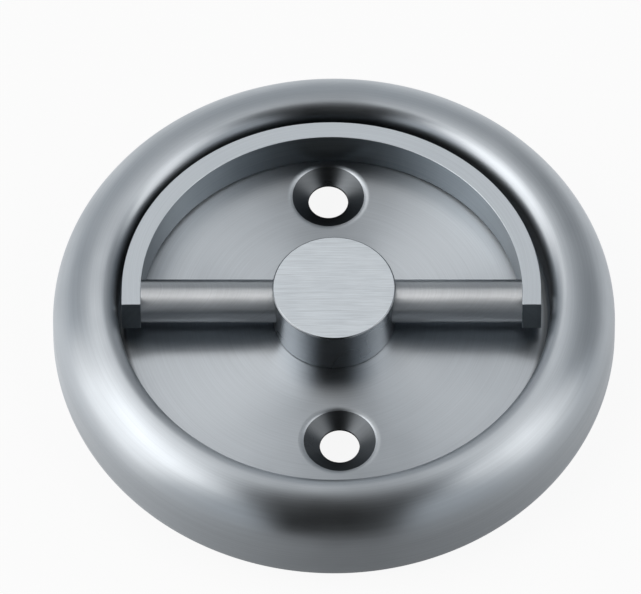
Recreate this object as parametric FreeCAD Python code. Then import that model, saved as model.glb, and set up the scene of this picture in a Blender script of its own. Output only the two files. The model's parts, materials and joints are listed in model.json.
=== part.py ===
import FreeCAD, Part
import math
import os

# Recessed turning ring pull in satin stainless steel.
# Origin: middle of the foot, where the rim stands on the door. +Z points out of the door.
# The screw holes lie on the Y axis. All sizes are in millimetres, all angles in degrees.

# Rim, recess and back of the dish
rim_diameter = 65.2
rim_band = 7.45           # recess wall to the widest line of the rim, seen from the front
crest_set_back = 1.85     # recess wall to the crest of the rim, and the radius of the roll there
foot_height = 3.4         # from the door up to where the rim starts to draw in
foot_draw_in = 1.1        # how far it draws in down to the door
floor_thickness = 1.5
floor_corner = 0.5        # inside radius between floor and recess wall
pocket_diameter = 48.0    # hollow of the back, behind the floor

# Screw holes in the floor of the dish
screw_spacing = 34.1
screw_hole = 4.6
countersink = 8.8
countersink_depth = 1.2
countersink_edge = 0.4    # rounding round the countersink

# Ring and the bar across it
ring_strip = 2.2          # radial thickness of the flat strip
ring_height = 4.6         # height of the strip
ring_end = 2.2            # how far the ends run past the axis of the bar
ring_edge = 0.2           # bevel round the edges of the strip
ring_set_back = 0.15      # middle of the half round, short of the axis of the bar
ring_gap = 0.55           # ring to recess wall on the side that it is pushed to
ring_side_play = 0.3      # how far the ring stands off centre, in its side play
ring_proud = 0.45         # ring above the crest of the rim
rest_gap = 0.1            # ring to floor where it lies down
swing_gap = 0.39          # ring ends to floor as they swing past it
bar_diameter = 5.0
spigot_diameter = 3.0     # ends of the bar, riveted in the ring

# Hub
hub_diameter = 14.3
hub_cap = 0.25            # metal left over the cross hole
hub_edge = 0.15           # chamfer round the top face
hub_turn = -2.2           # how far the hub stands turned from square to the screw holes
journal_diameter = 12.0
running_fit = 0.04        # radial clearance of a turning fit
seat_gap = 0.1            # under the shoulder of the hub
socket_across = 7.0       # square for the spindle of the lock
socket_play = 0.05
socket_corner = 0.4
socket_roof = 0.6         # metal between the socket and the cross hole
tail_chamfer = 0.3

# Bearing and retaining parts behind the floor
collar_length = 1.2       # neck that stands down from the floor
collar_wall = 1.2
bush_wall = 0.7
bush_flange = 0.5
bush_flange_width = 2.0
washer_thickness = 0.5
washer_width = 2.6
washer_play = 0.1
wave_sheet = 0.25
wave_height = 0.5         # from trough to crest, as it sits
wave_count = 3
clip_thickness = 1.0
clip_width = 1.95         # widest part of the circlip, opposite its gap
clip_taper = 0.45         # how far its outer edge is off centre
clip_eye = 1.4            # radius of the two eyes for the pliers
clip_eye_hole = 0.6       # radius of their holes
clip_eye_edge = 0.2       # metal between the hole of an eye and the gap
clip_gap = 4.3
clip_depth = 0.25         # groove in the journal
clip_play = 0.05
tail_length = 0.5         # journal past the groove
tail_clearance = 0.25     # tail to the door

overshoot = 1.0           # how far a cutting shape runs past what it cuts

# Worked out from the sizes above
rim_radius = rim_diameter / 2
recess_radius = rim_radius - rim_band
crest_radius = recess_radius + crest_set_back
ring_outer = recess_radius - ring_gap - ring_side_play
ring_inner = ring_outer - ring_strip
bar_radius = bar_diameter / 2
cross_hole_radius = bar_radius + running_fit
journal_radius = journal_diameter / 2
groove_radius = journal_radius - clip_depth
bush_inner = journal_radius + running_fit
bush_outer = bush_inner + bush_wall

tail_z = tail_clearance
clip_z = tail_z + tail_length
wave_z = clip_z + clip_thickness
washer_z = wave_z + wave_height + clip_play
bush_z = washer_z + washer_thickness
collar_z = bush_z + bush_flange
floor_under = collar_z + collar_length
floor_top = floor_under + floor_thickness
end_reach = max(math.hypot(ring_height / 2 - ring_edge, ring_end),
                math.hypot(ring_height / 2, ring_end - ring_edge))
axis_z = floor_top + end_reach + swing_gap
crest_z = axis_z + ring_height / 2 - ring_proud
hub_top = axis_z + cross_hole_radius + hub_cap
socket_top = axis_z - cross_hole_radius - socket_roof
lie_drop = axis_z - ring_height / 2 - floor_top - rest_gap
lie_angle = math.degrees(math.asin(lie_drop / (ring_outer - ring_set_back)))

UP = FreeCAD.Vector(0, 0, 1)
OUT = FreeCAD.Vector(1, 0, 0)       # out from the middle, and along the bar as it is drawn
CENTRE = FreeCAD.Vector(0, 0, 0)


def at(radius, height):
    """A point of a turned profile."""
    return FreeCAD.Vector(radius, 0, height)


def line(start, end):
    return Part.LineSegment(start, end).toShape()


def bend(start, corner, end):
    """A quarter circle from start to end, inside the corner of its two tangents."""
    centre = start + end - corner
    return Part.Arc(start, centre + (corner - centre) * math.sqrt(0.5), end).toShape()


def turned(edges):
    """Solid of revolution round Z of a closed profile."""
    wire = Part.Wire(Part.__sortEdges__(edges))
    return Part.Face(wire).revolve(CENTRE, UP, 360)


def tube(inner, outer, low, high):
    wall = Part.makeCylinder(outer, high - low, at(0, low))
    return wall.cut(Part.makeCylinder(inner, high - low, at(0, low)))


def bar_along(radius, half_length):
    """A cylinder on the axis of the bar, as it is drawn, even to both sides of the middle."""
    return Part.makeCylinder(radius, 2 * half_length, FreeCAD.Vector(-half_length, 0, axis_z), OUT)


def circle_edges(shape, radius, height):
    """The round edges of a shape round an upright axis, of one radius, at one height."""
    found = []
    for edge in shape.Edges:
        if isinstance(edge.Curve, Part.Circle):
            right_size = abs(edge.Curve.Radius - radius) < 0.001
            if right_size and abs(edge.Curve.Center.z - height) < 0.001:
                found.append(edge)
    return found


def arc(centre, radius, low_angle, high_angle):
    """Arc of a turned profile, its angles in radians up from the outward direction."""
    ends = [centre + at(math.cos(angle), math.sin(angle)) * radius
            for angle in (low_angle, (low_angle + high_angle) / 2, high_angle)]
    return Part.Arc(*ends).toShape()


# The dish, turned from solid: rounded rim, recess, thin floor with a neck behind it
def dish():
    foot_radius = (foot_draw_in ** 2 + foot_height ** 2) / (2 * foot_draw_in)
    foot_centre = at(rim_radius - foot_radius, foot_height)
    foot_angle = -math.asin(foot_height / foot_radius)
    foot_edge = at(rim_radius - foot_draw_in, 0)
    band_low = at(rim_radius, foot_height)
    band_top = at(rim_radius, crest_z - (rim_radius - crest_radius))
    crest = at(crest_radius, crest_z)
    roll_end = at(recess_radius, crest_z - crest_set_back)
    corner = at(recess_radius, floor_top)
    corner_top = corner + UP * floor_corner
    corner_end = corner - OUT * floor_corner
    collar_radius = bush_outer + collar_wall
    pocket_radius = pocket_diameter / 2
    straight = [corner_end, at(bush_outer, floor_top), at(bush_outer, collar_z),
                at(collar_radius, collar_z), at(collar_radius, floor_under),
                at(pocket_radius, floor_under), at(pocket_radius, 0), foot_edge]
    profile = [
        arc(foot_centre, foot_radius, foot_angle, 0),
        line(band_low, band_top),
        bend(band_top, at(rim_radius, crest_z), crest),
        bend(crest, at(recess_radius, crest_z), roll_end),
        line(roll_end, corner_top),
        bend(corner_top, corner, corner_end),
    ]
    for start, end in zip(straight, straight[1:]):
        profile.append(line(start, end))
    shell = turned(profile)
    cone_slope = (countersink - screw_hole) / 2 / countersink_depth
    for side in (1, -1):
        place = FreeCAD.Vector(0, side * screw_spacing / 2, floor_top)
        cone = Part.makeCone(screw_hole / 2, countersink / 2 + cone_slope * overshoot,
                             countersink_depth + overshoot, place - UP * countersink_depth)
        hole = Part.makeCylinder(screw_hole / 2, floor_thickness, place - UP * floor_thickness)
        shell = shell.cut(cone.fuse(hole))
    return shell.makeFillet(countersink_edge, circle_edges(shell, countersink / 2, floor_top))


# The bush that lines the neck of the dish
def hub_bush():
    liner = tube(bush_inner, bush_outer, collar_z, floor_top)
    flange = tube(bush_inner, bush_outer + bush_flange_width, bush_z, collar_z)
    return liner.fuse(flange).removeSplitter()


# The flat washer under the bush
def thrust_washer():
    inner = journal_radius + washer_play
    return tube(inner, inner + washer_width, washer_z, washer_z + washer_thickness)


# The wave washer that takes the play out of the hub
def wave_washer():
    inner = journal_radius + washer_play
    outer = inner + washer_width - 2 * washer_play
    swell = (wave_height - wave_sheet) / 2
    points_per_wave = 4
    count = wave_count * points_per_wave

    def ripple(radius):
        points = []
        for step in range(count):
            turn = 2 * math.pi * step / count
            rise = swell * (1 + math.cos(wave_count * turn))
            points.append(FreeCAD.Vector(radius * math.cos(turn), radius * math.sin(turn), wave_z + rise))
        curve = Part.BSplineCurve()
        curve.interpolate(points, PeriodicFlag=True)
        return curve.toShape()

    sheet = Part.makeRuledSurface(ripple(inner - overshoot), ripple(outer + overshoot))
    return sheet.extrude(UP * wave_sheet).common(tube(inner, outer, wave_z, wave_z + wave_height))


# The turned hub: post with the cross hole, journal, groove and square socket
def hub():
    post = Part.makeCylinder(hub_diameter / 2, hub_top - floor_top - seat_gap, at(0, floor_top + seat_gap))
    post = post.makeChamfer(hub_edge, circle_edges(post, hub_diameter / 2, hub_top))
    journal = Part.makeCylinder(journal_radius, floor_top + seat_gap - tail_z, at(0, tail_z))
    journal = journal.makeChamfer(tail_chamfer, circle_edges(journal, journal_radius, tail_z))
    groove = tube(groove_radius, journal_radius + overshoot, clip_z - clip_play,
                  clip_z + clip_thickness + clip_play)
    cross_hole = bar_along(cross_hole_radius, hub_diameter / 2 + overshoot)
    across = socket_across + socket_play
    socket = Part.makeBox(across, across, socket_top - tail_z,
                          FreeCAD.Vector(-across / 2, -across / 2, tail_z))
    upright = [edge for edge in socket.Edges if abs(edge.tangentAt(edge.FirstParameter).z) > 0.99]
    socket = socket.makeFillet(socket_corner, upright)
    return post.fuse(journal).removeSplitter().cut(groove).cut(cross_hole).cut(socket)


# The circlip in the groove, with its two eyes
def retaining_ring():
    def disc(radius, centre):
        return Part.makeCylinder(radius, clip_thickness, centre + UP * clip_z)

    body = disc(groove_radius + clip_width - clip_taper, FreeCAD.Vector(0, -clip_taper, 0))
    eye_circle = groove_radius + clip_eye
    eye_across = clip_gap / 2 + clip_eye_edge + clip_eye_hole
    for side in (1, -1):
        eye_centre = FreeCAD.Vector(side * eye_across, math.sqrt(eye_circle ** 2 - eye_across ** 2), 0)
        body = body.fuse(disc(clip_eye, eye_centre)).cut(disc(clip_eye_hole, eye_centre))
    mouth = Part.makeBox(clip_gap, groove_radius + 2 * clip_eye, clip_thickness,
                         FreeCAD.Vector(-clip_gap / 2, 0, clip_z))
    return body.cut(disc(groove_radius, CENTRE)).cut(mouth).removeSplitter()


def as_it_stands(shape, tilts):
    """Moves a piece of the hub's side from its drawn place to where it stands in the dish."""
    if tilts:
        shape.translate(OUT * -ring_side_play)
        shape.rotate(at(0, axis_z), OUT, -lie_angle)
    shape.rotate(CENTRE, UP, hub_turn)
    return shape


# The strip of the ring: a half round with short straight ends, before its rivet holes
def ring_blank():
    low = axis_z - ring_height / 2

    def flat(x, y):
        return FreeCAD.Vector(x, y, low)

    def half_round(radius):
        return Part.Arc(flat(radius, -ring_set_back), flat(0, radius - ring_set_back),
                        flat(-radius, -ring_set_back)).toShape()

    outline = [half_round(ring_outer), half_round(ring_inner)]
    for side in (1, -1):
        for radius in (ring_outer, ring_inner):
            outline.append(line(flat(side * radius, -ring_set_back), flat(side * radius, -ring_end)))
        outline.append(line(flat(side * ring_inner, -ring_end), flat(side * ring_outer, -ring_end)))
    strip = Part.Face(Part.Wire(Part.__sortEdges__(outline))).extrude(UP * ring_height)
    level = [edge for edge in strip.Edges if edge.BoundBox.ZLength < 0.001]
    return strip.makeChamfer(ring_edge, level)


def ring():
    return ring_blank().cut(bar_along(spigot_diameter / 2, ring_outer + overshoot))


# The bar across the ring, which turns in the hub: ends coped to the strip, each with a riveted spigot
def crossbar():
    bar = bar_along(bar_radius, ring_inner).cut(ring_blank())
    return bar.fuse(bar_along(spigot_diameter / 2, ring_outer))


pieces = {
    "dish": dish(),
    "hub_bush": hub_bush(),
    "thrust_washer": thrust_washer(),
    "wave_washer": as_it_stands(wave_washer(), tilts=False),
    "retaining_ring": as_it_stands(retaining_ring(), tilts=False),
    "hub": as_it_stands(hub(), tilts=False),
    "crossbar": as_it_stands(crossbar(), tilts=True),
    "ring": as_it_stands(ring(), tilts=True),
}

os.makedirs("parts", exist_ok=True)
for name, shape in pieces.items():
    shape.exportStep(os.path.join("parts", name + ".step"))
    print(name, "solids", len(shape.Solids), "valid", shape.isValid(), "volume", round(shape.Volume, 1))
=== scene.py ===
import json
import math
import bmesh
import bpy
from mathutils import Matrix, Vector


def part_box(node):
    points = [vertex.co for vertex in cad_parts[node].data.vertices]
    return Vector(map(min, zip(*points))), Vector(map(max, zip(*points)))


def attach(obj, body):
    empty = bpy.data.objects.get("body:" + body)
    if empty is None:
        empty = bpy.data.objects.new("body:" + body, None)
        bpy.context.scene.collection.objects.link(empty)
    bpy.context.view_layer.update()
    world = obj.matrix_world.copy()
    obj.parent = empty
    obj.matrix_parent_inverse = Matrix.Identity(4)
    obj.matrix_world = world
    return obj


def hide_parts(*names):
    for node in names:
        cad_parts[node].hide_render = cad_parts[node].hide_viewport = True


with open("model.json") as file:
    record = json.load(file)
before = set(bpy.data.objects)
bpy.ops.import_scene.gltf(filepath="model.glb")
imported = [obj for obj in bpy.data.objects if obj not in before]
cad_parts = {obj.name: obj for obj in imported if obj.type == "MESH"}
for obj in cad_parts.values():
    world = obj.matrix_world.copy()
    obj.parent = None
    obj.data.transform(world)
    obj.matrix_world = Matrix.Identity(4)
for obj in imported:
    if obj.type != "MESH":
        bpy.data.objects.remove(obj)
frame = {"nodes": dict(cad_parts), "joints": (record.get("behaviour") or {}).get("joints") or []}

scene = bpy.context.scene
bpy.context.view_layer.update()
mm = 0.001

# The dish is turned from solid stainless bar: a rounded rim, a recess with a thin floor, and a
# pocket behind it with a neck for the bearing bush. Its satin grain runs round the middle. The wall
# of the recess is painted darker toward its foot, as shade, and the countersinks of the two screw
# holes are painted near black, as shade.
rim_radius = 32.6 * mm
recess_radius = 25.15 * mm
crest_radius = 27.0 * mm
crest_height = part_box("dish")[1].z
foot_height = 3.4 * mm
foot_draw_in = 1.1 * mm
floor_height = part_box("hub_bush")[1].z
floor_thickness = 1.5 * mm
floor_corner = 0.5 * mm
pocket_radius = 24.0 * mm
neck_radius = 6.74 * mm
collar_radius = 7.94 * mm
collar_foot = 3.3 * mm
edge_break = 0.12 * mm
screw_spacing = 34.1 * mm
screw_hole_radius = 2.3 * mm
countersink_radius = 4.4 * mm
countersink_depth = 1.2 * mm
countersink_edge = 1.5 * mm
cut_start = 0.12 * mm
overshoot = 1.0 * mm


def put(tree, kind, inputs=None, **settings):
    """Adds a node. Each input takes a plain value, or the output of another node as a link."""
    node = tree.nodes.new(kind)
    for name, value in settings.items():
        setattr(node, name, value)
    for name, value in (inputs or {}).items():
        if isinstance(value, bpy.types.NodeSocket):
            tree.links.new(value, node.inputs[name])
        else:
            node.inputs[name].default_value = value
    return node


def new_group(name, kind, inputs, outputs):
    """A node group with named sockets: the group, what comes in and what goes out."""
    tree = bpy.data.node_groups.new(name, kind)
    for label, socket, value in inputs:
        made = tree.interface.new_socket(label, in_out="INPUT", socket_type="NodeSocket" + socket)
        if value is not None:
            made.default_value = value
    for label, socket in outputs:
        tree.interface.new_socket(label, in_out="OUTPUT", socket_type="NodeSocket" + socket)
    given = tree.nodes.new("NodeGroupInput").outputs
    wanted = tree.nodes.new("NodeGroupOutput").inputs
    return tree, given, wanted


def shape_tree(name, inputs):
    """A Geometry Nodes tree with the base outline, the named sizes and the piece's material."""
    return new_group(name, "GeometryNodeTree",
                     [("Outline", "Geometry", None), *inputs, ("Material", "Material", None)],
                     [("Mesh", "Geometry")])


def end_tree(tree, given, wanted, mesh):
    """Smooth faces with crisp corners, plain mesh data and the piece's material."""
    crisp_from = math.radians(26)
    smooth = put(tree, "GeometryNodeSetShadeSmooth", {"Geometry": mesh, "Shade Smooth": True})
    angle = put(tree, "GeometryNodeInputMeshEdgeAngle")
    sharp = put(tree, "FunctionNodeCompare", {0: angle.outputs[0], 1: crisp_from},
                operation="GREATER_THAN")
    crisp = put(tree, "GeometryNodeSetShadeSmooth",
                {"Geometry": smooth.outputs[0], "Selection": sharp.outputs[0], "Shade Smooth": False},
                domain="EDGE")
    plain = put(tree, "GeometryNodeRealizeInstances", {"Geometry": crisp.outputs[0]})
    dressed = put(tree, "GeometryNodeSetMaterial",
                  {"Geometry": plain.outputs[0], "Material": given["Material"]})
    tree.links.new(dressed.outputs[0], wanted["Mesh"])
    return tree


def dress_some(tree, wanted, selection, material):
    """Gives the chosen faces of a finished tree another material."""
    dressed = wanted["Mesh"].links[0].from_socket
    other = put(tree, "GeometryNodeSetMaterial",
                {"Geometry": dressed, "Selection": selection, "Material": material})
    tree.links.new(other.outputs[0], wanted["Mesh"])


def spin(tree, outline, segments=288):
    """Turns an outline, drawn with its radius along X and its height along Y, round the Z axis."""
    guide = 1.0 * mm
    weld = 0.0001 * mm
    shift = put(tree, "GeometryNodeTransform",
                {"Geometry": outline, "Translation": (-guide, 0, 0), "Scale": (1, -1, 1)})
    profile = put(tree, "GeometryNodeMeshToCurve", {"Mesh": shift.outputs[0]})
    circle = put(tree, "GeometryNodeCurvePrimitiveCircle", {"Resolution": segments, "Radius": guide})
    swept = put(tree, "GeometryNodeCurveToMesh",
                {"Curve": circle.outputs[0], "Profile Curve": profile.outputs[0]})
    joined = put(tree, "GeometryNodeMergeByDistance", {"Geometry": swept.outputs[0], "Distance": weld})
    return joined.outputs[0]


def cut_away(tree, mesh, cutters):
    """The mesh less the cutters."""
    return put(tree, "GeometryNodeMeshBoolean", {"Mesh 1": mesh, "Mesh 2": cutters},
               operation="DIFFERENCE", solver="EXACT").outputs[0]


def turned_tree():
    """A plain turned piece."""
    tree, given, wanted = shape_tree("turned", [])
    return end_tree(tree, given, wanted, spin(tree, given["Outline"]))


def drilled_tree():
    """A turned piece with a row of like holes cut in it along Y, their faces dressed apart."""
    tree, given, wanted = shape_tree("turned and drilled", [
        ("Drill", "Object", None), ("Holes", "Int", 2), ("Spacing", "Float", 0.01),
        ("Cut Height", "Float", 0.006), ("Cut Reach", "Float", 0.005), ("Cut Material", "Material", None)])
    facing_down = -0.5
    drill = put(tree, "GeometryNodeObjectInfo", {"Object": given["Drill"]})
    start = put(tree, "ShaderNodeMath", {0: given["Spacing"], 1: -0.5}, operation="MULTIPLY")
    first = put(tree, "ShaderNodeCombineXYZ", {"Y": start.outputs[0]})
    step = put(tree, "ShaderNodeCombineXYZ", {"Y": given["Spacing"]})
    row = put(tree, "GeometryNodeMeshLine",
              {"Count": given["Holes"], "Start Location": first.outputs[0], "Offset": step.outputs[0]})
    drills = put(tree, "GeometryNodeInstanceOnPoints",
                 {"Points": row.outputs[0], "Instance": drill.outputs["Geometry"]})
    loose = put(tree, "GeometryNodeRealizeInstances", {"Geometry": drills.outputs[0]})
    drilled = cut_away(tree, spin(tree, given["Outline"]), loose.outputs[0])
    end_tree(tree, given, wanted, drilled)
    spot = put(tree, "GeometryNodeInputPosition").outputs[0]
    height = put(tree, "ShaderNodeSeparateXYZ", {0: spot})
    facing = put(tree, "ShaderNodeSeparateXYZ", {0: put(tree, "GeometryNodeInputNormal").outputs[0]})
    below = put(tree, "FunctionNodeCompare", {0: height.outputs["Z"], 1: given["Cut Height"]},
                operation="LESS_THAN")
    flat = put(tree, "ShaderNodeVectorMath", {0: spot, 1: (1, 1, 0)}, operation="MULTIPLY")
    nearest = put(tree, "GeometryNodeProximity",
                  {"Geometry": row.outputs[0], "Sample Position": flat.outputs[0]}, target_element="POINTS")
    near = put(tree, "FunctionNodeCompare", {0: nearest.outputs["Distance"], 1: given["Cut Reach"]},
               operation="LESS_THAN")
    upward = put(tree, "FunctionNodeCompare", {0: facing.outputs["Z"], 1: facing_down},
                 operation="GREATER_THAN")
    sunk = put(tree, "FunctionNodeBooleanMath", {0: below.outputs[0], 1: near.outputs[0]}, operation="AND")
    sunk = put(tree, "FunctionNodeBooleanMath", {0: sunk.outputs[0], 1: upward.outputs[0]}, operation="AND")
    dress_some(tree, wanted, sunk.outputs[0], given["Cut Material"])
    return tree


def arc(centre, radius, start, end, steps):
    """Points of an arc, its angles in radians from the outward direction."""
    turns = [start + (end - start) * step / steps for step in range(steps + 1)]
    return [(centre[0] + radius * math.cos(turn), centre[1] + radius * math.sin(turn)) for turn in turns]


def eased(corners, reach, closed=True, steps=4):
    """The outline through the corners, each rounded off; the ends of an open one stay as they are."""
    points = []
    for place, corner in enumerate(corners):
        if not closed and place in (0, len(corners) - 1):
            points.append(corner)
            continue
        corner = Vector(corner)
        before = (Vector(corners[place - 1]) - corner).normalized() * reach
        after = (Vector(corners[(place + 1) % len(corners)]) - corner).normalized() * reach
        for step in range(steps + 1):
            share = step / steps
            points.append(tuple(corner + before * (1 - share) ** 2 + after * share ** 2))
    return points


def outline_mesh(name, points, closed=True):
    """Edges through flat points, for a tree to build on."""
    edges = [(place, place + 1) for place in range(len(points) - 1)]
    if closed:
        edges.append((len(points) - 1, 0))
    mesh = bpy.data.meshes.new(name)
    mesh.from_pydata([(*point, 0) for point in points], edges, [])
    return mesh


def made_by(tree, name, outline, sizes, place=Matrix.Identity(4), edge=0.0):
    """A plain mesh object made by a tree, its edges broken, moved to its place."""
    piece = bpy.data.objects.new(name, outline)
    scene.collection.objects.link(piece)
    build = piece.modifiers.new("build", "NODES")
    build.node_group = tree
    for socket in tree.interface.items_tree:
        if socket.in_out == "INPUT" and socket.name in sizes:
            build[socket.identifier] = sizes[socket.name]
    if edge:
        bevel = piece.modifiers.new("broken edges", "BEVEL")
        bevel.width = edge
        bevel.segments = 3
        bevel.limit_method = "ANGLE"
        bevel.use_clamp_overlap = True
    even = piece.modifiers.new("even shading", "WEIGHTED_NORMAL")
    even.weight = 100
    even.keep_sharp = True
    seen = piece.evaluated_get(bpy.context.evaluated_depsgraph_get())
    mesh = bpy.data.meshes.new_from_object(seen)
    piece.modifiers.clear()
    piece.data = mesh
    mesh.name = name
    mesh.transform(place)
    return piece


def turned_grain_group():
    """Fine grooves round the Z axis, fainter and deeper in turns, with a slow cloud over them."""
    tree, given, wanted = new_group("turned grain", "ShaderNodeTree",
                                    [("Point", "Vector", (0, 0, 0)), ("Grooves", "Float", 9000.0),
                                     ("Around", "Float", 1.2), ("Depth", "Float", 0.000002)],
                                    [("Tone", "Float"), ("Cloud", "Float"), ("Normal", "Vector")])
    height_share = 0.62
    cloud_scale = 110.0
    flat = put(tree, "ShaderNodeVectorMath", {0: given["Point"], 1: (1, 1, 0)}, operation="MULTIPLY")
    radius = put(tree, "ShaderNodeVectorMath", {0: flat.outputs[0]}, operation="LENGTH")
    outward = put(tree, "ShaderNodeVectorMath", {0: flat.outputs[0]}, operation="NORMALIZE")
    slow = put(tree, "ShaderNodeVectorMath", {0: outward.outputs[0], "Scale": given["Around"]},
               operation="SCALE")
    height = put(tree, "ShaderNodeSeparateXYZ", {0: given["Point"]})
    along = put(tree, "ShaderNodeMath",
                {0: height.outputs["Z"], 1: height_share, 2: radius.outputs["Value"]},
                operation="MULTIPLY_ADD")
    count = put(tree, "ShaderNodeMath", {0: along.outputs[0], 1: given["Grooves"]}, operation="MULTIPLY")
    groove = put(tree, "ShaderNodeCombineXYZ", {"Z": count.outputs[0]})
    at = put(tree, "ShaderNodeVectorMath", {0: slow.outputs[0], 1: groove.outputs[0]}, operation="ADD")
    fine = put(tree, "ShaderNodeTexNoise",
               {"Vector": at.outputs[0], "Scale": 1.0, "Detail": 3.0, "Roughness": 0.6})
    cloud = put(tree, "ShaderNodeTexNoise",
                {"Vector": given["Point"], "Scale": cloud_scale, "Detail": 2.0, "Roughness": 0.5})
    bump = put(tree, "ShaderNodeBump",
               {"Height": fine.outputs["Fac"], "Distance": given["Depth"], "Strength": 1.0})
    tree.links.new(fine.outputs["Fac"], wanted["Tone"])
    tree.links.new(cloud.outputs["Fac"], wanted["Cloud"])
    tree.links.new(bump.outputs["Normal"], wanted["Normal"])
    return tree


def painted_shade_band_group():
    """A painted shade mask: in a band of radius, above a bottom and below a height, darkest low down."""
    tree, given, wanted = new_group("painted shade band", "ShaderNodeTree",
                                    [("Point", "Vector", (0, 0, 0)), ("Inner Radius", "Float", 0.0),
                                     ("Full Radius", "Float", 0.001), ("Outer Radius", "Float", 0.01),
                                     ("Bottom", "Float", 0.0), ("Low", "Float", 0.0),
                                     ("High", "Float", 0.01)],
                                    [("Mask", "Float")])
    flat = put(tree, "ShaderNodeVectorMath", {0: given["Point"], 1: (1, 1, 0)}, operation="MULTIPLY")
    radius = put(tree, "ShaderNodeVectorMath", {0: flat.outputs[0]}, operation="LENGTH")
    past = put(tree, "ShaderNodeMapRange",
               {"Value": radius.outputs["Value"], "From Min": given["Inner Radius"],
                "From Max": given["Full Radius"]}, interpolation_type="SMOOTHSTEP")
    within = put(tree, "ShaderNodeMath", {0: radius.outputs["Value"], 1: given["Outer Radius"]},
                 operation="LESS_THAN")
    height = put(tree, "ShaderNodeSeparateXYZ", {0: given["Point"]})
    depth = put(tree, "ShaderNodeMapRange",
                {"Value": height.outputs["Z"], "From Min": given["High"], "From Max": given["Low"],
                 "To Min": 0.0, "To Max": 1.0}, interpolation_type="SMOOTHSTEP")
    above = put(tree, "ShaderNodeMath", {0: height.outputs["Z"], 1: given["Bottom"]},
                operation="GREATER_THAN")
    band = put(tree, "ShaderNodeMath", {0: past.outputs[0], 1: within.outputs[0]}, operation="MULTIPLY")
    band = put(tree, "ShaderNodeMath", {0: band.outputs[0], 1: above.outputs[0]}, operation="MULTIPLY")
    mask = put(tree, "ShaderNodeMath", {0: band.outputs[0], 1: depth.outputs[0]}, operation="MULTIPLY")
    tree.links.new(mask.outputs[0], wanted["Mask"])
    return tree


def metal(name, colour, marks, roughness, grain, sizes=None, stretch=0.0, tangent_axis="",
          point_turn=(0, 0, 0), painted_shade=None):
    """Bare metal: its marks vary its tone and gloss, and may spread its reflections across them. A band of
    painted shade may darken it.
    """
    swing = 0.04
    faint, strong = 0.3, 0.7
    across = 0.25
    material = bpy.data.materials.new(name)
    material.use_nodes = True
    tree = material.node_tree
    tree.nodes.clear()
    point = put(tree, "ShaderNodeTexCoord").outputs["Object"]
    if any(point_turn):
        point = put(tree, "ShaderNodeMapping", {"Vector": point, "Rotation": point_turn}).outputs[0]
    made = put(tree, "ShaderNodeGroup", node_tree=marks)
    tree.links.new(point, made.inputs["Point"])
    for label, value in (sizes or {}).items():
        made.inputs[label].default_value = value
    tone = put(tree, "ShaderNodeMapRange",
               {"Value": made.outputs["Tone"], "From Min": faint, "From Max": strong,
                "To Min": 1 - grain, "To Max": 1 + grain})
    gloss = put(tree, "ShaderNodeMapRange",
                {"Value": made.outputs["Cloud"], "From Min": faint, "From Max": strong,
                 "To Min": roughness - swing, "To Max": roughness + swing})
    tone = tone.outputs[0]
    # The optional band darkens the tone as painted shade.
    if painted_shade:
        band = put(tree, "ShaderNodeGroup", node_tree=painted_shade_band)
        tree.links.new(point, band.inputs["Point"])
        for label, value in painted_shade.items():
            band.inputs[label].default_value = value
        bright = put(tree, "ShaderNodeMapRange",
                     {"Value": band.outputs["Mask"], "To Min": 1.0, "To Max": painted_shade_tone})
        tone = put(tree, "ShaderNodeMath", {0: tone, 1: bright.outputs[0]}, operation="MULTIPLY").outputs[0]
    toned = put(tree, "ShaderNodeVectorMath", {0: colour, "Scale": tone}, operation="SCALE")
    shader = put(tree, "ShaderNodeBsdfPrincipled",
                 {"Base Color": toned.outputs[0], "Roughness": gloss.outputs[0], "Metallic": 1.0,
                  "Anisotropic": stretch, "Anisotropic Rotation": across, "Normal": made.outputs["Normal"]})
    if tangent_axis:
        around = put(tree, "ShaderNodeTangent", direction_type="RADIAL", axis=tangent_axis)
        tree.links.new(around.outputs[0], shader.inputs["Tangent"])
    put(tree, "ShaderNodeOutputMaterial", {"Surface": shader.outputs[0]})
    return material


turned = turned_tree()
turned_grain = turned_grain_group()
steel_grey = (0.54, 0.58, 0.62)
# The recess wall of the dish is painted darker toward its foot, as shade.
painted_shade_band = painted_shade_band_group()
painted_shade_tone = 0.35
painted_shade_from, painted_shade_full = recess_radius - 1.2 * mm, recess_radius - 0.6 * mm
painted_shade_low, painted_shade_high = crest_height - 1.9 * mm, crest_height - 0.5 * mm
dish_satin_and_shade = metal("dish satin steel with painted shade", steel_grey, turned_grain, roughness=0.32, grain=0.05, stretch=0.88,
                   tangent_axis="Z",
                   painted_shade={"Inner Radius": painted_shade_from, "Full Radius": painted_shade_full, "Outer Radius": crest_radius,
                         "Bottom": floor_height - floor_thickness / 2, "Low": painted_shade_low, "High": painted_shade_high})
# The countersinks are painted near black, as shade.
countersink_shade_grey = (0.11, 0.12, 0.13)
countersink_painted_shade = metal("countersink painted shade", countersink_shade_grey, turned_grain, roughness=0.30, grain=0.05,
                 sizes={"Grooves": 3000.0})

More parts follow.
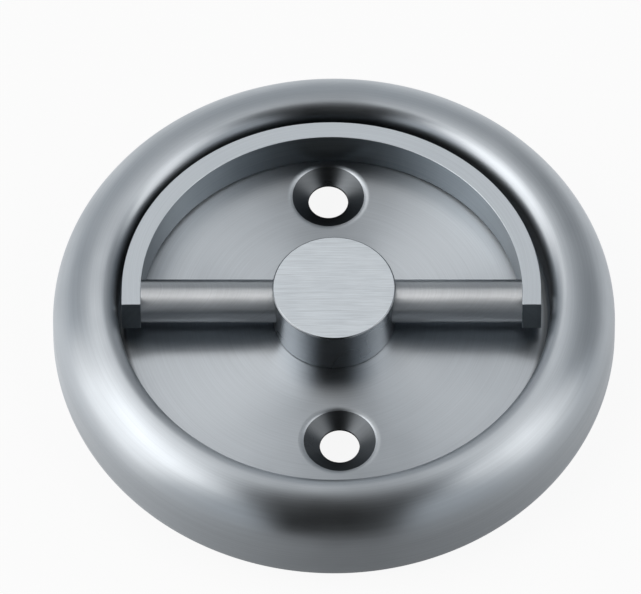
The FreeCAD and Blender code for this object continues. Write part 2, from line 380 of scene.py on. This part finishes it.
shoulder = rim_radius - crest_radius
roll = crest_radius - recess_radius
foot_radius = (foot_draw_in ** 2 + foot_height ** 2) / (2 * foot_draw_in)
foot_turn = -math.asin(foot_height / foot_radius)
foot_steps, shoulder_steps, roll_steps, corner_steps, edge_steps = 12, 28, 20, 8, 6
foot = arc((rim_radius - foot_radius, foot_height), foot_radius, foot_turn, 0, foot_steps)
floor_under = floor_height - floor_thickness
dish_profile = [
    *foot,
    *arc((crest_radius, crest_height - shoulder), shoulder, 0, math.pi / 2, shoulder_steps),
    *arc((crest_radius, crest_height - roll), roll, math.pi / 2, math.pi, roll_steps)[1:],
    *arc((recess_radius - floor_corner, floor_height + floor_corner), floor_corner, 0, -math.pi / 2,
         corner_steps),
    *eased([(recess_radius - 2 * floor_corner, floor_height), (neck_radius, floor_height),
            (neck_radius, collar_foot), (collar_radius, collar_foot), (collar_radius, floor_under),
            (pocket_radius, floor_under), (pocket_radius, 0), foot[0]], edge_break, closed=False)[1:-1],
]
cone_turn = math.atan2(countersink_depth, countersink_radius - screw_hole_radius)
edge_centre = (countersink_radius + countersink_edge * math.tan(cone_turn / 2),
               floor_height - countersink_edge)
drill_profile = [
    (0, floor_height + overshoot),
    (edge_centre[0], floor_height + overshoot),
    *arc(edge_centre, countersink_edge, math.pi / 2, math.pi / 2 + cone_turn, edge_steps),
    (screw_hole_radius, floor_height - countersink_depth),
    (screw_hole_radius, floor_under - overshoot),
    (0, floor_under - overshoot),
]
drill = made_by(turned, "screw_drill", outline_mesh("drill outline", drill_profile, closed=False), {})
dish = made_by(drilled_tree(), "dish_turned", outline_mesh("dish outline", dish_profile),
               {"Drill": drill, "Holes": 2, "Spacing": screw_spacing,
                "Cut Height": floor_height - cut_start, "Cut Reach": countersink_radius + countersink_edge,
                "Cut Material": countersink_painted_shade, "Material": dish_satin_and_shade})
bpy.data.objects.remove(drill)
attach(dish, "cup")
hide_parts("dish")

# The bush lines the neck of the dish with bearing bronze, pressed in from behind up to its flange.
# It is turned, and its edges are broken.
bush_low, bush_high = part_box("hub_bush")
bush_inner = 6.04 * mm
bush_outer = neck_radius
bush_flange = 0.5 * mm
bush_break = 0.08 * mm
bearing_bronze = (0.62, 0.44, 0.22)
bush_bronze = metal("bush bronze", bearing_bronze, turned_grain, roughness=0.33, grain=0.08,
                    sizes={"Grooves": 6000.0}, stretch=0.6, tangent_axis="Z")
bush_profile = eased([(bush_inner, bush_high.z), (bush_outer, bush_high.z),
                      (bush_outer, bush_low.z + bush_flange), (bush_high.x, bush_low.z + bush_flange),
                      (bush_high.x, bush_low.z), (bush_inner, bush_low.z)], bush_break)
bush = made_by(turned, "bush_turned", outline_mesh("bush outline", bush_profile), {"Material": bush_bronze})
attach(bush, "cup")
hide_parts("hub_bush")

# The flat washer between the bush and the wave washer is stamped from hardened strip and tumbled.
washer_low, washer_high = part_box("thrust_washer")
washer_inner = 6.1 * mm
washer_break = 0.12 * mm
tumbled_grey = (0.46, 0.47, 0.49)
washer_steel = metal("washer steel", tumbled_grey, turned_grain, roughness=0.42, grain=0.06,
                     sizes={"Grooves": 2500.0, "Around": 9.0})
washer_profile = eased([(washer_inner, washer_high.z), (washer_high.x, washer_high.z),
                        (washer_high.x, washer_low.z), (washer_inner, washer_low.z)], washer_break)
washer = made_by(turned, "washer_stamped", outline_mesh("washer outline", washer_profile),
                 {"Material": washer_steel})
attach(washer, "cup")
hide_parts("thrust_washer")

# The wave washer is spring steel strip bent in three even waves. It takes the play out of the hub.
wave_low, wave_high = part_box("wave_washer")
wave_inner = washer_inner
wave_outer = wave_high.x
wave_sheet = 0.25 * mm
wave_count = 3
wave_break = 0.05 * mm
bar_axis = frame["joints"][1]["axis"]
bar_turn = Matrix.Rotation(math.atan2(bar_axis[1], bar_axis[0]), 4, "Z")


def wave_tree():
    """A flat strip along a circle that rises and falls in even waves."""
    tree, given, wanted = shape_tree("wave washer", [
        ("Radius", "Float", 0.007), ("Width", "Float", 0.002), ("Sheet", "Float", 0.0002),
        ("Swell", "Float", 0.0001), ("Waves", "Float", 3.0), ("Middle", "Float", 0.0)])
    steps = 180
    circle = put(tree, "GeometryNodeCurvePrimitiveCircle", {"Resolution": steps, "Radius": given["Radius"]})
    spot = put(tree, "ShaderNodeSeparateXYZ", {0: put(tree, "GeometryNodeInputPosition").outputs[0]})
    turn = put(tree, "ShaderNodeMath", {0: spot.outputs["Y"], 1: spot.outputs["X"]}, operation="ARCTAN2")
    phase = put(tree, "ShaderNodeMath", {0: turn.outputs[0], 1: given["Waves"]}, operation="MULTIPLY")
    wave = put(tree, "ShaderNodeMath", {0: phase.outputs[0]}, operation="COSINE")
    rise = put(tree, "ShaderNodeMath", {0: wave.outputs[0], 1: given["Swell"], 2: given["Middle"]},
               operation="MULTIPLY_ADD")
    lift = put(tree, "ShaderNodeCombineXYZ", {"Z": rise.outputs[0]})
    path = put(tree, "GeometryNodeSetPosition", {"Geometry": circle.outputs[0], "Offset": lift.outputs[0]})
    level = put(tree, "GeometryNodeSetCurveNormal", {"Curve": path.outputs[0]}, mode="Z_UP")
    strip = put(tree, "GeometryNodeCurvePrimitiveQuadrilateral",
                {"Width": given["Width"], "Height": given["Sheet"]})
    swept = put(tree, "GeometryNodeCurveToMesh",
                {"Curve": level.outputs[0], "Profile Curve": strip.outputs[0]})
    return end_tree(tree, given, wanted, swept.outputs[0])


spring_grey = (0.40, 0.40, 0.42)
spring_steel = metal("spring steel", spring_grey, turned_grain, roughness=0.32, grain=0.10,
                     sizes={"Grooves": 1800.0, "Around": 14.0})
wave = made_by(wave_tree(), "wave_washer_bent", bpy.data.meshes.new("empty outline"),
               {"Radius": (wave_inner + wave_outer) / 2, "Width": wave_outer - wave_inner,
                "Sheet": wave_sheet, "Swell": (wave_high.z - wave_low.z - wave_sheet) / 2,
                "Waves": wave_count, "Middle": (wave_low.z + wave_high.z) / 2, "Material": spring_steel},
               bar_turn, edge=wave_break)
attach(wave, "turning_hub")
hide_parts("wave_washer")

# The circlip is stamped from spring steel, with two eyes for the pliers, and snaps into the groove
# of the hub. Its stamped edges are a little rounded, and it is oiled dark.
oiled_grey = (0.20, 0.20, 0.215)
clip_steel = metal("circlip steel", oiled_grey, turned_grain, roughness=0.38, grain=0.12,
                   sizes={"Grooves": 1500.0, "Around": 12.0})
clip_weld = 0.001 * mm
clip_break = 0.06 * mm
flat_within = math.radians(2)
corner_from = math.radians(40)
clip_mesh = frame["nodes"]["retaining_ring"].data.copy()
clip_mesh.name = "circlip_stamped"
loose = bmesh.new()
loose.from_mesh(clip_mesh)
bmesh.ops.remove_doubles(loose, verts=loose.verts, dist=clip_weld)
bmesh.ops.dissolve_limit(loose, angle_limit=flat_within, verts=loose.verts, edges=loose.edges)
corners = [edge for edge in loose.edges if edge.calc_face_angle(0) > corner_from]
bmesh.ops.bevel(loose, geom=corners, offset=clip_break, segments=3, affect="EDGES", clamp_overlap=True)
for face in loose.faces:
    face.smooth = True
for edge in loose.edges:
    edge.smooth = edge.calc_face_angle(0) < corner_from
loose.to_mesh(clip_mesh)
loose.free()
clip_mesh.materials.clear()
clip_mesh.materials.append(clip_steel)
clip = bpy.data.objects.new("circlip_stamped", clip_mesh)
scene.collection.objects.link(clip)
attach(clip, "turning_hub")
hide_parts("retaining_ring")

# The hub is one turned post. The bar of the ring goes through it, its journal runs in the bush, and
# a square socket in its tail takes the spindle. Its top is faced off and brushed along the bar; the
# rest is painted darker, as shade.
hub_low, hub_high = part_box("hub")
hub_radius = 7.15 * mm
hub_seat = floor_height + 0.1 * mm
hub_edge = 0.15 * mm
journal_radius = 6.0 * mm
groove_radius = 5.75 * mm
groove_low, groove_high = 0.70 * mm, 1.80 * mm
tail_chamfer = 0.3 * mm
hub_break = 0.05 * mm
top_skin = 0.01 * mm
cross_hole_radius = 2.54 * mm
socket_across = 7.05 * mm
socket_corner = 0.4 * mm
socket_top = 6.298 * mm
bar_height = frame["joints"][1]["pos_m"][2]


def hub_tree():
    """A turned post with a cross hole along X and a square socket from below, its top dressed apart."""
    tree, given, wanted = shape_tree("hub", [
        ("Cross Hole", "Float", 0.0025), ("Hole Height", "Float", 0.009), ("Reach", "Float", 0.01),
        ("Socket", "Float", 0.007), ("Socket Corner", "Float", 0.0004), ("Socket Top", "Float", 0.006),
        ("Top Height", "Float", 0.012), ("Top Material", "Material", None)])
    hole_sides, corner_sides = 96, 6
    post = spin(tree, given["Outline"])
    left = put(tree, "ShaderNodeMath", {0: given["Reach"], 1: -1.0}, operation="MULTIPLY")
    ends = [put(tree, "ShaderNodeCombineXYZ", {"X": side, "Z": given["Hole Height"]}).outputs[0]
            for side in (left.outputs[0], given["Reach"])]
    axis = put(tree, "GeometryNodeCurvePrimitiveLine", {"Start": ends[0], "End": ends[1]})
    round_hole = put(tree, "GeometryNodeCurvePrimitiveCircle",
                     {"Resolution": hole_sides, "Radius": given["Cross Hole"]})
    drill = put(tree, "GeometryNodeCurveToMesh",
                {"Curve": axis.outputs[0], "Profile Curve": round_hole.outputs[0], "Fill Caps": True})
    top = put(tree, "ShaderNodeCombineXYZ", {"Z": given["Socket Top"]})
    foot = put(tree, "ShaderNodeCombineXYZ", {"Z": left.outputs[0]})
    depth = put(tree, "GeometryNodeCurvePrimitiveLine", {"Start": foot.outputs[0], "End": top.outputs[0]})
    square = put(tree, "GeometryNodeCurvePrimitiveQuadrilateral",
                 {"Width": given["Socket"], "Height": given["Socket"]})
    rounded = put(tree, "GeometryNodeFilletCurve",
                  {"Curve": square.outputs[0], "Count": corner_sides, "Radius": given["Socket Corner"]},
                  mode="POLY")
    broach = put(tree, "GeometryNodeCurveToMesh",
                 {"Curve": depth.outputs[0], "Profile Curve": rounded.outputs[0], "Fill Caps": True})
    drilled = cut_away(tree, post, drill.outputs[0])
    socketed = cut_away(tree, drilled, broach.outputs[0])
    end_tree(tree, given, wanted, socketed)
    spot = put(tree, "ShaderNodeSeparateXYZ", {0: put(tree, "GeometryNodeInputPosition").outputs[0]})
    upper = put(tree, "FunctionNodeCompare", {0: spot.outputs["Z"], 1: given["Top Height"]},
                operation="GREATER_THAN")
    dress_some(tree, wanted, upper.outputs[0], given["Top Material"])
    return tree


def brushed_grain_group():
    """Long fine scratches along X, and a few deeper ones."""
    tree, given, wanted = new_group("brushed grain", "ShaderNodeTree",
                                    [("Point", "Vector", (0, 0, 0)), ("Lines", "Float", 7000.0),
                                     ("Length", "Float", 250.0), ("Depth", "Float", 0.000002)],
                                    [("Tone", "Float"), ("Cloud", "Float"), ("Normal", "Vector")])
    cloud_scale = 300.0
    scale = put(tree, "ShaderNodeCombineXYZ",
                {"X": given["Length"], "Y": given["Lines"], "Z": given["Lines"]})
    at = put(tree, "ShaderNodeVectorMath", {0: given["Point"], 1: scale.outputs[0]}, operation="MULTIPLY")
    fine = put(tree, "ShaderNodeTexNoise",
               {"Vector": at.outputs[0], "Scale": 1.0, "Detail": 3.0, "Roughness": 0.65})
    cloud = put(tree, "ShaderNodeTexNoise",
                {"Vector": given["Point"], "Scale": cloud_scale, "Detail": 2.0, "Roughness": 0.5})
    bump = put(tree, "ShaderNodeBump",
               {"Height": fine.outputs["Fac"], "Distance": given["Depth"], "Strength": 1.0})
    tree.links.new(fine.outputs["Fac"], wanted["Tone"])
    tree.links.new(cloud.outputs["Fac"], wanted["Cloud"])
    tree.links.new(bump.outputs["Normal"], wanted["Normal"])
    return tree


brushed_grain = brushed_grain_group()
# Below its top the hub is painted darker, as shade.
hub_side_shade_grey = (0.34, 0.365, 0.39)
hub_side_painted_shade = metal("hub steel, side painted shade", hub_side_shade_grey, turned_grain, roughness=0.28, grain=0.06, stretch=0.6,
                  tangent_axis="Z")
top_grey = (0.68, 0.73, 0.775)
hub_brushed = metal("hub brushed top", top_grey, brushed_grain, roughness=0.36, grain=0.12,
                    point_turn=(0, 0, -math.atan2(bar_axis[1], bar_axis[0])))
hub_profile = [
    (0, hub_high.z),
    (hub_radius - hub_edge, hub_high.z),
    (hub_radius, hub_high.z - hub_edge),
    (hub_radius, hub_seat),
    (journal_radius, hub_seat),
    (journal_radius, groove_high),
    (groove_radius, groove_high),
    (groove_radius, groove_low),
    (journal_radius, groove_low),
    (journal_radius, hub_low.z + tail_chamfer),
    (journal_radius - tail_chamfer, hub_low.z),
    (0, hub_low.z),
]
hub = made_by(hub_tree(), "hub_turned",
              outline_mesh("hub outline", eased(hub_profile, hub_break, closed=False)),
              {"Cross Hole": cross_hole_radius, "Hole Height": bar_height, "Reach": hub_radius + overshoot,
               "Socket": socket_across, "Socket Corner": socket_corner, "Socket Top": socket_top,
               "Top Height": hub_high.z - top_skin, "Top Material": hub_brushed, "Material": hub_side_painted_shade},
              bar_turn)
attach(hub, "turning_hub")
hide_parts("hub")

# The ring is a flat stainless strip bent to a half round with short straight ends. It lies tilted in
# the dish, its far side resting close over the floor. Its edges are brushed pale, and its walls are
# painted darker, as shade.
ring_outer = 24.3 * mm
ring_strip = 2.2 * mm
ring_tall = 4.6 * mm
ring_end = 2.2 * mm
ring_set_back = 0.15 * mm
ring_break = 0.16 * mm
ring_side_play = 0.3 * mm
rest_gap = 0.1 * mm
spigot_radius = 1.5 * mm
lie_drop = bar_height - ring_tall / 2 - floor_height - rest_gap
lie_angle = math.asin(lie_drop / (ring_outer - ring_set_back))
at_bar = Matrix.Translation((0, 0, bar_height))
as_it_lies = (bar_turn @ at_bar @ Matrix.Rotation(-lie_angle, 4, "X")
              @ Matrix.Translation((-ring_side_play, 0, 0)))


def strip_tree():
    """A flat strip along a level path, with a hole through it along X, its walls dressed apart."""
    tree, given, wanted = shape_tree("ring strip", [
        ("Thickness", "Float", 0.002), ("Height", "Float", 0.004), ("Hole", "Float", 0.0015),
        ("Reach", "Float", 0.03), ("Wall Material", "Material", None)])
    hole_sides = 64
    steep = 0.5
    path = put(tree, "GeometryNodeMeshToCurve", {"Mesh": given["Outline"]})
    level = put(tree, "GeometryNodeSetCurveNormal", {"Curve": path.outputs[0]}, mode="Z_UP")
    flat = put(tree, "GeometryNodeCurvePrimitiveQuadrilateral",
               {"Width": given["Thickness"], "Height": given["Height"]})
    swept = put(tree, "GeometryNodeCurveToMesh",
                {"Curve": level.outputs[0], "Profile Curve": flat.outputs[0], "Fill Caps": True})
    left = put(tree, "ShaderNodeMath", {0: given["Reach"], 1: -1.0}, operation="MULTIPLY")
    ends = [put(tree, "ShaderNodeCombineXYZ", {"X": side}).outputs[0]
            for side in (left.outputs[0], given["Reach"])]
    axis = put(tree, "GeometryNodeCurvePrimitiveLine", {"Start": ends[0], "End": ends[1]})
    round_hole = put(tree, "GeometryNodeCurvePrimitiveCircle",
                     {"Resolution": hole_sides, "Radius": given["Hole"]})
    drill = put(tree, "GeometryNodeCurveToMesh",
                {"Curve": axis.outputs[0], "Profile Curve": round_hole.outputs[0], "Fill Caps": True})
    end_tree(tree, given, wanted, cut_away(tree, swept.outputs[0], drill.outputs[0]))
    facing = put(tree, "ShaderNodeSeparateXYZ", {0: put(tree, "GeometryNodeInputNormal").outputs[0]})
    slope = put(tree, "ShaderNodeMath", {0: facing.outputs["Z"]}, operation="ABSOLUTE")
    upright = put(tree, "FunctionNodeCompare", {0: slope.outputs[0], 1: steep}, operation="LESS_THAN")
    dress_some(tree, wanted, upright.outputs[0], given["Wall Material"])
    return tree


ring_grooves = {"Grooves": 7000.0}
ring_satin = metal("ring satin steel", top_grey, turned_grain, roughness=0.33, grain=0.05,
                   sizes=ring_grooves)
# The ring's walls are painted darker than its edges, as shade.
ring_wall_shade_grey = (0.24, 0.27, 0.295)
ring_wall_painted_shade = metal("ring wall painted shade", ring_wall_shade_grey, turned_grain, roughness=0.36, grain=0.08,
                  sizes=ring_grooves)
ring_middle = ring_outer - ring_strip / 2
bend_steps = 120
half_round = arc((0, -ring_set_back), ring_middle, 0, math.pi, bend_steps)
ring_path = [(ring_middle, -ring_end), *half_round, (-ring_middle, -ring_end)]
ring = made_by(strip_tree(), "ring_bent", outline_mesh("ring path", ring_path, closed=False),
               {"Thickness": ring_strip, "Height": ring_tall, "Hole": spigot_radius,
                "Reach": ring_outer + overshoot, "Wall Material": ring_wall_painted_shade, "Material": ring_satin},
               as_it_lies, edge=ring_break)
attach(ring, "ring_pull")
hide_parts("ring")

# The bar is turned, with a spigot at each end that is riveted over in the ring and dressed flush.
bar_radius = 2.5 * mm
bar_break = 0.08 * mm
ring_inner = ring_outer - ring_strip
bar_grey = (0.80, 0.83, 0.86)
bar_steel = metal("bar turned steel", bar_grey, turned_grain, roughness=0.55, grain=0.05, stretch=1.0,
                  tangent_axis="X", point_turn=(0, math.pi / 2, 0))
half_bar = [(0, ring_outer), (spigot_radius, ring_outer),
            (spigot_radius, ring_inner), (bar_radius, ring_inner)]
bar_profile = half_bar + [(radius, -along) for radius, along in reversed(half_bar)]
along_bar = Matrix.Rotation(math.pi / 2, 4, "Y")
bar = made_by(turned, "crossbar_turned",
              outline_mesh("bar outline", eased(bar_profile, bar_break, closed=False), closed=False),
              {"Material": bar_steel}, as_it_lies @ along_bar)
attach(bar, "ring_pull")
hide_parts("crossbar")

# The floor that the pull stands on, for the picture alone: a wide matt white sheet. The metal mirrors
# it bright only outside the dish; toward the side of the camera, where the room is dark, a shadow is
# painted into its mirrored glow.
sheet_reach = 6.0
sheet_drop = 0.02 * mm
sheet_white = (0.85, 0.85, 0.85, 1)
plain_white = (1, 1, 1, 1)
sheet_glow = 0.92
# A shadow painted into the sheet's mirrored glow, darkest toward the camera.
painted_camera_shade_side = (0.174, -0.985, 0)
painted_camera_shade_from = -0.3
painted_camera_shade_level = 0.27
floor_mesh = bpy.data.meshes.new("white_sheet")
floor_mesh.from_pydata([(x * sheet_reach, y * sheet_reach, -sheet_drop)
                        for x, y in ((-1, -1), (1, -1), (1, 1), (-1, 1))], [], [(0, 1, 2, 3)])
white_sheet = bpy.data.objects.new("white_sheet", floor_mesh)
scene.collection.objects.link(white_sheet)
paper = bpy.data.materials.new("white paper")
paper.use_nodes = True
tree = paper.node_tree
tree.nodes.clear()
matt = put(tree, "ShaderNodeBsdfDiffuse", {"Color": sheet_white})
place = put(tree, "ShaderNodeTexCoord").outputs["Object"]
spot = put(tree, "ShaderNodeVectorMath", {0: place}, operation="NORMALIZE")
nearer = put(tree, "ShaderNodeVectorMath", {0: spot.outputs[0], 1: painted_camera_shade_side}, operation="DOT_PRODUCT")
painted_camera_shade = put(tree, "ShaderNodeMapRange",
             {"Value": nearer.outputs["Value"], "From Min": painted_camera_shade_from, "From Max": 1.0,
              "To Min": 1.0, "To Max": painted_camera_shade_level})
path = put(tree, "ShaderNodeLightPath")
strength = put(tree, "ShaderNodeMix",
               {"Factor": path.outputs["Is Glossy Ray"], "A": 1.0, "B": painted_camera_shade.outputs[0]},
               data_type="FLOAT")
white = put(tree, "ShaderNodeEmission", {"Color": plain_white, "Strength": strength.outputs[0]})
reach = put(tree, "ShaderNodeVectorMath", {0: place}, operation="LENGTH")
clear = put(tree, "ShaderNodeMapRange",
            {"Value": reach.outputs["Value"], "From Min": pocket_radius, "From Max": rim_radius})
mirrored = put(tree, "ShaderNodeMath", {0: path.outputs["Is Glossy Ray"], 1: clear.outputs[0]},
               operation="MULTIPLY")
direct = put(tree, "ShaderNodeMath", {0: path.outputs["Is Camera Ray"], 1: mirrored.outputs[0]},
             operation="ADD", use_clamp=True)
direct = put(tree, "ShaderNodeMath", {0: direct.outputs[0], 1: path.outputs["Is Transmission Ray"]},
             operation="ADD", use_clamp=True)
share = put(tree, "ShaderNodeMath", {0: direct.outputs[0], 1: sheet_glow}, operation="MULTIPLY")
mixed = put(tree, "ShaderNodeMixShader", {0: share.outputs[0], 1: matt.outputs[0], 2: white.outputs[0]})
put(tree, "ShaderNodeOutputMaterial", {"Surface": mixed.outputs[0]})
floor_mesh.materials.append(paper)

# The light is a pale tent all round, with brighter panels to the left and to the right, and dark
# where the camera stands and overhead. The camera itself sees white at the horizon and below it.
world = bpy.data.worlds.new("tent")
scene.world = world
world.use_nodes = True
tree = world.node_tree
tree.nodes.clear()


def card_group():
    """How much of a soft-edged card, level with the horizon, a direction meets."""
    tree, given, wanted = new_group("card", "ShaderNodeTree",
                                    [("Direction", "Vector", (0, 0, 1)), ("Toward", "Vector", (0, 1, 0)),
                                     ("Half Width", "Float", 0.5), ("Half Height", "Float", 0.5),
                                     ("Softness", "Float", 0.2)],
                                    [("Share", "Float")])
    nearly_behind = 0.001
    right = put(tree, "ShaderNodeVectorMath", {0: given["Toward"], 1: (0, 0, 1)}, operation="CROSS_PRODUCT")
    right = put(tree, "ShaderNodeVectorMath", {0: right.outputs[0]}, operation="NORMALIZE")
    up = put(tree, "ShaderNodeVectorMath", {0: right.outputs[0], 1: given["Toward"]},
             operation="CROSS_PRODUCT")
    ahead = put(tree, "ShaderNodeVectorMath", {0: given["Direction"], 1: given["Toward"]},
                operation="DOT_PRODUCT")
    depth = put(tree, "ShaderNodeMath", {0: ahead.outputs["Value"], 1: nearly_behind}, operation="MAXIMUM")
    shares = []
    for axis, half in ((right, "Half Width"), (up, "Half Height")):
        side = put(tree, "ShaderNodeVectorMath", {0: given["Direction"], 1: axis.outputs[0]},
                   operation="DOT_PRODUCT")
        place = put(tree, "ShaderNodeMath", {0: side.outputs["Value"], 1: depth.outputs[0]},
                    operation="DIVIDE")
        place = put(tree, "ShaderNodeMath", {0: place.outputs[0]}, operation="ABSOLUTE")
        edge = put(tree, "ShaderNodeMath", {0: given[half], 1: given["Softness"]}, operation="ADD")
        inside = put(tree, "ShaderNodeMapRange",
                     {"Value": place.outputs[0], "From Min": edge.outputs[0], "From Max": given[half],
                      "To Min": 0.0, "To Max": 1.0}, interpolation_type="SMOOTHSTEP")
        shares.append(inside.outputs["Result"])
    both = put(tree, "ShaderNodeMath", {0: shares[0], 1: shares[1]}, operation="MULTIPLY")
    tree.links.new(both.outputs[0], wanted["Share"])
    return tree


card = card_group()


def toward(azimuth, elevation):
    """Direction to a card: azimuth in degrees from +X towards +Y, elevation above the horizon."""
    a, e = math.radians(azimuth), math.radians(elevation)
    return (math.cos(a) * math.cos(e), math.sin(a) * math.cos(e), math.sin(e))


direction = put(tree, "ShaderNodeTexCoord").outputs["Generated"]
tent_level = 0.50
tent_tint = (0.96, 1.0, 1.04, 1)
wall_tint = (1.02, 1.0, 0.98, 1)
horizon_low, horizon_high = 0.02, 0.05
cards = {
    # name: azimuth, elevation, half width, half height, softness, change of level
    "left wall": (181, 32, 0.18, 0.40, 0.50, 1.10),
    "left top": (150, 64, 0.45, 0.12, 0.25, 0.90),
    "right wall": (354, 42, 0.12, 0.30, 0.30, 0.95),
    "right top": (34, 66, 0.30, 0.10, 0.18, 0.50),
    "back right": (44, 28, 0.35, 0.45, 0.35, -0.22),
    "back left": (116, 36, 0.30, 0.15, 0.30, -0.12),
    "camera side": (-92, 30, 0.10, 2.00, 0.44, -1.20),
    "overhead": (-92, 85, 0.32, 0.25, 0.25, -0.50),
}
level = put(tree, "ShaderNodeValue")
level.outputs[0].default_value = tent_level
level = level.outputs[0]
for azimuth, elevation, half_width, half_height, softness, change in cards.values():
    share = put(tree, "ShaderNodeGroup", node_tree=card)
    tree.links.new(direction, share.inputs["Direction"])
    share.inputs["Toward"].default_value = toward(azimuth, elevation)
    share.inputs["Half Width"].default_value = half_width
    share.inputs["Half Height"].default_value = half_height
    share.inputs["Softness"].default_value = softness
    level = put(tree, "ShaderNodeMath", {0: share.outputs[0], 1: change, 2: level},
                operation="MULTIPLY_ADD").outputs[0]
height = put(tree, "ShaderNodeSeparateXYZ", {0: direction})
horizon = put(tree, "ShaderNodeMapRange",
              {"Value": height.outputs["Z"], "From Min": horizon_low, "From Max": horizon_high,
               "To Min": 1.0, "To Max": 0.0})
seen = put(tree, "ShaderNodeMath",
           {0: horizon.outputs[0], 1: put(tree, "ShaderNodeLightPath").outputs["Is Camera Ray"]},
           operation="MULTIPLY")
level = put(tree, "ShaderNodeMath", {0: level, 1: 0.0}, operation="MAXIMUM").outputs[0]
warmth = put(tree, "ShaderNodeMapRange",
             {"Value": level, "From Min": tent_level, "From Max": 2 * tent_level})
tint = put(tree, "ShaderNodeMix", {"Factor": warmth.outputs[0], "A": tent_tint, "B": wall_tint},
           data_type="RGBA")
tint = put(tree, "ShaderNodeMix",
           {"Factor": seen.outputs[0], "A": tint.outputs["Result"], "B": plain_white}, data_type="RGBA")
level = put(tree, "ShaderNodeMix", {"Factor": seen.outputs[0], "A": level, "B": 1.0}, data_type="FLOAT")
background = put(tree, "ShaderNodeBackground",
                 {"Color": tint.outputs["Result"], "Strength": level.outputs[0]})
put(tree, "ShaderNodeOutputWorld", {"Surface": background.outputs[0]})

# The camera: a long lens from in front and above. The pull lies a little to the right of the middle
# of the picture, and below it.
view_azimuth = math.radians(-2.2)
view_elevation = math.radians(56.2)
distance = 2.5
frame_width = 74.36 * mm
aim_left = 1.566 * mm
aim_up = 2.378 * mm
back = Vector((math.sin(view_azimuth) * math.cos(view_elevation),
               -math.cos(view_azimuth) * math.cos(view_elevation), math.sin(view_elevation)))
right = Vector((math.cos(view_azimuth), math.sin(view_azimuth), 0))
up = back.cross(right)
lens = bpy.data.cameras.new("camera")
lens.sensor_width = 36
lens.lens = lens.sensor_width * distance / frame_width
lens.clip_start = 0.1
lens.clip_end = 20
camera = bpy.data.objects.new("camera", lens)
scene.collection.objects.link(camera)
camera.location = Vector((0, 0, floor_height)) - right * aim_left + up * aim_up + back * distance
camera.rotation_euler = Matrix((right, up, back)).transposed().to_euler()
scene.camera = camera
scene.view_settings.view_transform = "Standard"

bpy.context.view_layer.update()
